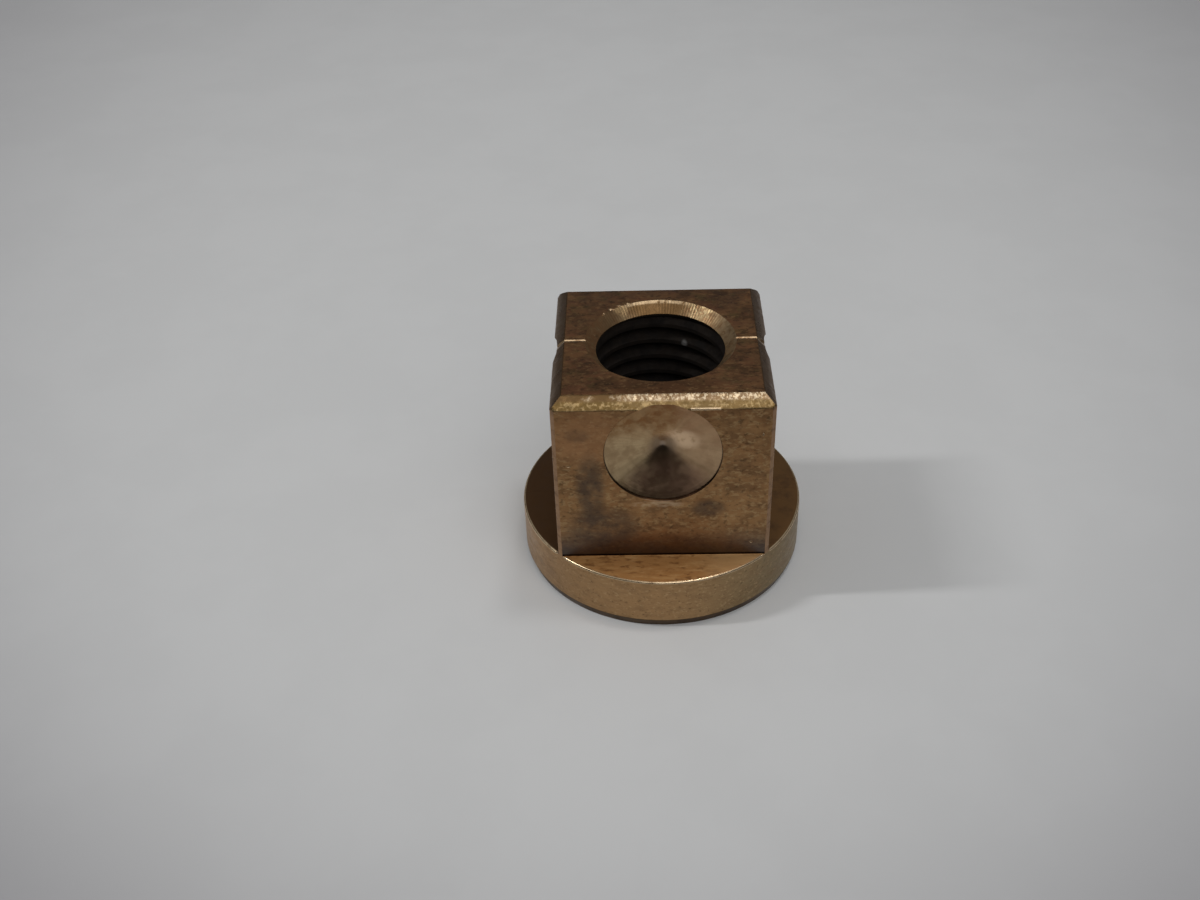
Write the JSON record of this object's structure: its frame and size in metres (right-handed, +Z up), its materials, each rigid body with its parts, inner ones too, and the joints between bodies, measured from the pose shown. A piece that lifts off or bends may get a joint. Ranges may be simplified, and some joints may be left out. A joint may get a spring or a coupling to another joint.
{
  "type": "split flange nut",
  "caption": "Square bronze nut on a round flange, parted into halves on dowel pins, with a threaded bore and a shallow conical seat in each side.",
  "frame": {"origin": "centre of the flange's underside, on the axis of the bore and on the parting plane", "axes": "+Z up the bore from the flange to the chamfered top, +Y from the parting plane towards the rear half, +X to the right seat"},
  "size_m": [0.044, 0.0442, 0.0375],
  "materials": {
    "bronze_front": "machined bronze, browned by handling",
    "bronze_rear": "machined bronze, browned by handling",
    "pin_steel": "ground"
  },
  "bodies": {
    "rear_half": {"nut_half_rear": "bronze_rear", "dowel_pin_left": "pin_steel", "dowel_pin_right": "pin_steel"},
    "front_half": {"nut_half_front": "bronze_front"}
  },
  "joints": [
    {"name": "front_half_slide", "type": "slide", "parent": "rear_half", "child": "front_half", "axis": [0, -1, 0], "range_m": [0, 0.009]}
  ]
}
